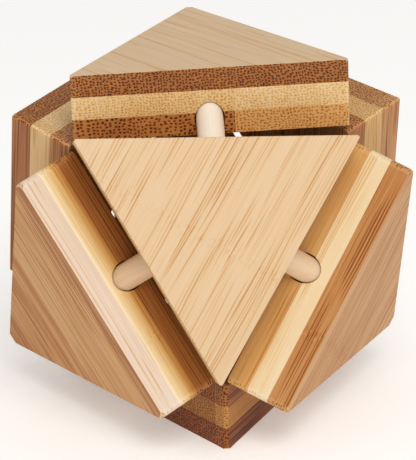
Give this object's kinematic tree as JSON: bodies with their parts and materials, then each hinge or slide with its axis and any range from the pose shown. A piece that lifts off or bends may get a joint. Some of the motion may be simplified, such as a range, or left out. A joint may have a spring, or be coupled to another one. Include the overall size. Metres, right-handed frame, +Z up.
{
  "type": "burr puzzle",
  "caption": "Bamboo burr puzzle of triangular three-ply blocks set like the faces of an octahedron around a hollow centre, pinned together by sliding dowels.",
  "frame": {"origin": "middle of the bottom block's outer face, the face that the puzzle rests on", "axes": "+Z up through the middle of the puzzle; -Y towards the front, where one block leans its outer face at the viewer; +X to the viewer's right"},
  "size_m": [0.0901, 0.1012, 0.0832],
  "materials": {
    "bamboo_caramel": "sanded bamboo strip, steamed to a caramel colour, thin satin oil",
    "bamboo_natural": "sanded bamboo strip in its natural pale colour, thin satin oil",
    "birch_dowel": "turned and sanded pale hardwood rod, bare"
  },
  "bodies": {
    "bottom_block": {"bottom_inner_ply": "bamboo_caramel", "bottom_core_ply": "bamboo_natural", "bottom_outer_ply": "bamboo_caramel", "bottom_dowel_to_left_front": "birch_dowel", "bottom_dowel_to_right_front": "birch_dowel", "bottom_dowel_to_rear": "birch_dowel"},
    "rear_block": {"rear_inner_ply": "bamboo_caramel", "rear_core_ply": "bamboo_natural", "rear_outer_ply": "bamboo_caramel"},
    "left_front_block": {"left_front_inner_ply": "bamboo_caramel", "left_front_core_ply": "bamboo_natural", "left_front_outer_ply": "bamboo_caramel"},
    "right_front_block": {"right_front_inner_ply": "bamboo_caramel", "right_front_core_ply": "bamboo_natural", "right_front_outer_ply": "bamboo_caramel"},
    "left_rear_block": {"left_rear_inner_ply": "bamboo_caramel", "left_rear_core_ply": "bamboo_natural", "left_rear_outer_ply": "bamboo_caramel", "left_rear_dowel_to_rear": "birch_dowel", "left_rear_dowel_to_top": "birch_dowel", "left_rear_dowel_to_left_front": "birch_dowel"},
    "right_rear_block": {"right_rear_inner_ply": "bamboo_caramel", "right_rear_core_ply": "bamboo_natural", "right_rear_outer_ply": "bamboo_caramel", "right_rear_dowel_to_top": "birch_dowel", "right_rear_dowel_to_rear": "birch_dowel", "right_rear_dowel_to_right_front": "birch_dowel"},
    "front_block": {"front_inner_ply": "bamboo_caramel", "front_core_ply": "bamboo_natural", "front_outer_ply": "bamboo_caramel", "front_dowel_to_right_front": "birch_dowel", "front_dowel_to_left_front": "birch_dowel", "front_dowel_to_top": "birch_dowel"},
    "top_block": {"top_inner_ply": "bamboo_caramel", "top_core_ply": "bamboo_natural", "top_outer_ply": "bamboo_caramel"}
  },
  "joints": [
    {"name": "rear_half_slide", "type": "slide", "parent": "bottom_block", "child": "rear_block", "axis": [0, 0.8165, 0.5774], "range_m": [0, 0.02]},
    {"name": "right_half_slide", "type": "slide", "parent": "bottom_block", "child": "right_front_block", "axis": [0.7071, -0.4082, 0.5774], "range_m": [0, 0.02]},
    {"name": "left_half_slide", "type": "slide", "parent": "bottom_block", "child": "left_front_block", "axis": [-0.7071, -0.4082, 0.5774], "range_m": [0, 0.02]},
    {"name": "right_rear_slide", "type": "slide", "parent": "rear_block", "child": "right_rear_block", "axis": [0.7071, -0.4082, 0.5774], "range_m": [0, 0.02]},
    {"name": "left_rear_slide", "type": "slide", "parent": "rear_block", "child": "left_rear_block", "axis": [-0.7071, -0.4082, 0.5774], "range_m": [0, 0.02]},
    {"name": "front_slide", "type": "slide", "parent": "right_front_block", "child": "front_block", "axis": [-0.7071, -0.4082, 0.5774], "range_m": [0, 0.02]},
    {"name": "top_slide", "type": "slide", "parent": "right_rear_block", "child": "top_block", "axis": [-0.7071, -0.4082, 0.5774], "range_m": [0, 0.02]}
  ],
  "couplings": [
    {"joint": "right_rear_slide", "follows": "right_half_slide", "ratio": 1},
    {"joint": "left_rear_slide", "follows": "left_half_slide", "ratio": 1},
    {"joint": "front_slide", "follows": "left_half_slide", "ratio": 1},
    {"joint": "top_slide", "follows": "left_half_slide", "ratio": 1}
  ]
}
